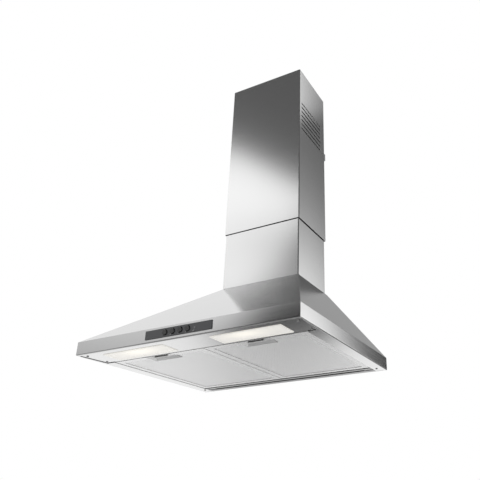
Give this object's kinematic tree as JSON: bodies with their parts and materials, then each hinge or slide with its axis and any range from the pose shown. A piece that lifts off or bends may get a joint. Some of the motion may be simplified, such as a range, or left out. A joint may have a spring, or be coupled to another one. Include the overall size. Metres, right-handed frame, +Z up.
{
  "type": "wall chimney range hood",
  "caption": "Stainless wall hood: pyramid canopy, telescopic chimney with side vents, push buttons, lamps, hinged mesh grease filters and a centrifugal blower with flaps.",
  "frame": {"origin": "on the wall plane, in the middle of the hood's width, at the canopy rim's lower edge", "axes": "+Z up along the chimney, +Y into the wall, +X to the right of someone who faces the hood"},
  "size_m": [0.6, 0.505, 0.9764],
  "materials": {
    "stainless": "brushed stainless sheet",
    "filter_steel": "satin stainless frame",
    "filter_face": "perforated stainless sheet",
    "filter_mesh": "layers of expanded aluminium mesh",
    "latch": "moulded grey plastic",
    "lamp_lens": "opal diffuser",
    "lamp_box": "white enamelled steel",
    "lampholder": "heat-proof moulding",
    "bulb": "opal glass",
    "fascia": "dark satin strip",
    "switch": "black moulding",
    "button": "black push buttons",
    "galvanised": "galvanised sheet",
    "housing": "black polypropylene",
    "guard": "black moulded grille",
    "guide": "pale nylon",
    "motor": "dark motor can",
    "steel": "bright steel",
    "terminal": "pale moulding",
    "capacitor": "white case",
    "screw": "plated pan-head screws"
  },
  "bodies": {
    "hood": {"back_plate": "galvanised", "blower_bracket": "galvanised", "blower_housing_left": "housing", "blower_housing_right": "housing", "blower_screws": "screw", "bulb_left": "bulb", "bulb_right": "bulb", "cable_gland": "terminal", "canopy_shell": "stainless", "capacitor": "capacitor", "capacitor_clip": "galvanised", "chimney_foot_screws": "screw", "chimney_guides": "guide", "control_fascia": "fascia", "flap_pin": "steel", "guard_screws": "screw", "housing_screws": "screw", "inlet_guard": "guard", "lamp_box_left": "lamp_box", "lamp_box_right": "lamp_box", "lamp_cover_left": "lamp_lens", "lamp_cover_right": "lamp_lens", "lampholder_left": "lampholder", "lampholder_right": "lampholder", "light_panel": "stainless", "lower_chimney": "stainless", "motor": "motor", "motor_bracket": "galvanised", "motor_screws": "screw", "outlet_adapter": "housing", "panel_ledge_left": "galvanised", "panel_ledge_right": "galvanised", "panel_screws": "screw", "rail_screws": "screw", "rear_rail": "stainless", "switch_block": "switch", "terminal_box": "terminal", "terminal_lid": "terminal"},
    "chimney_top": {"upper_chimney": "stainless", "chimney_bracket": "galvanised", "chimney_side_screws": "screw", "vent_shields": "housing"},
    "button_1": {"push_button_1": "button"},
    "button_2": {"push_button_2": "button"},
    "button_3": {"push_button_3": "button"},
    "button_4": {"push_button_4": "button"},
    "filter_left": {"filter_frame_left": "filter_steel", "filter_face_left": "filter_face", "filter_mesh_left": "filter_mesh", "latch_pocket_left": "filter_steel"},
    "filter_right": {"filter_frame_right": "filter_steel", "filter_face_right": "filter_face", "filter_mesh_right": "filter_mesh", "latch_pocket_right": "filter_steel"},
    "latch_left": {"filter_latch_left": "latch"},
    "latch_right": {"filter_latch_right": "latch"},
    "wheel": {"impeller": "housing", "motor_shaft": "steel"},
    "front_flap": {"flap_front": "housing"},
    "back_flap": {"flap_back": "housing"}
  },
  "joints": [
    {"name": "chimney_slide", "type": "slide", "parent": "hood", "child": "chimney_top", "axis": [0, 0, 1], "range_m": [-0.175, 0]},
    {"name": "button_press_1", "type": "slide", "parent": "hood", "child": "button_1", "axis": [0, 1, 0], "range_m": [0, 0.0025], "stiffness_N_per_m": 400, "springref_m": -0.002},
    {"name": "button_press_2", "type": "slide", "parent": "hood", "child": "button_2", "axis": [0, 1, 0], "range_m": [0, 0.0025], "stiffness_N_per_m": 400, "springref_m": -0.002},
    {"name": "button_press_3", "type": "slide", "parent": "hood", "child": "button_3", "axis": [0, 1, 0], "range_m": [0, 0.0025], "stiffness_N_per_m": 400, "springref_m": -0.002},
    {"name": "button_press_4", "type": "slide", "parent": "hood", "child": "button_4", "axis": [0, 1, 0], "range_m": [0, 0.0025], "stiffness_N_per_m": 400, "springref_m": -0.002},
    {"name": "filter_swing_left", "type": "hinge", "parent": "hood", "child": "filter_left", "pos_m": [-0.135, -0.041, 0.005], "axis": [1, 0, 0], "range_deg": [0, 50]},
    {"name": "latch_slide_left", "type": "slide", "parent": "filter_left", "child": "latch_left", "axis": [0, 1, 0], "range_m": [0, 0.006], "stiffness_N_per_m": 300, "springref_m": -0.002},
    {"name": "filter_swing_right", "type": "hinge", "parent": "hood", "child": "filter_right", "pos_m": [0.135, -0.041, 0.005], "axis": [1, 0, 0], "range_deg": [0, 50]},
    {"name": "latch_slide_right", "type": "slide", "parent": "filter_right", "child": "latch_right", "axis": [0, 1, 0], "range_m": [0, 0.006], "stiffness_N_per_m": 300, "springref_m": -0.002},
    {"name": "wheel_spin", "type": "hinge", "parent": "hood", "child": "wheel", "pos_m": [0, -0.135, 0.13], "axis": [1, 0, 0], "continuous": true},
    {"name": "front_flap_swing", "type": "hinge", "parent": "hood", "child": "front_flap", "pos_m": [0, -0.0985, 0.281], "axis": [-1, 0, 0], "range_deg": [0, 75]},
    {"name": "back_flap_swing", "type": "hinge", "parent": "hood", "child": "back_flap", "pos_m": [0, -0.0985, 0.281], "axis": [1, 0, 0], "range_deg": [0, 75]}
  ]
}
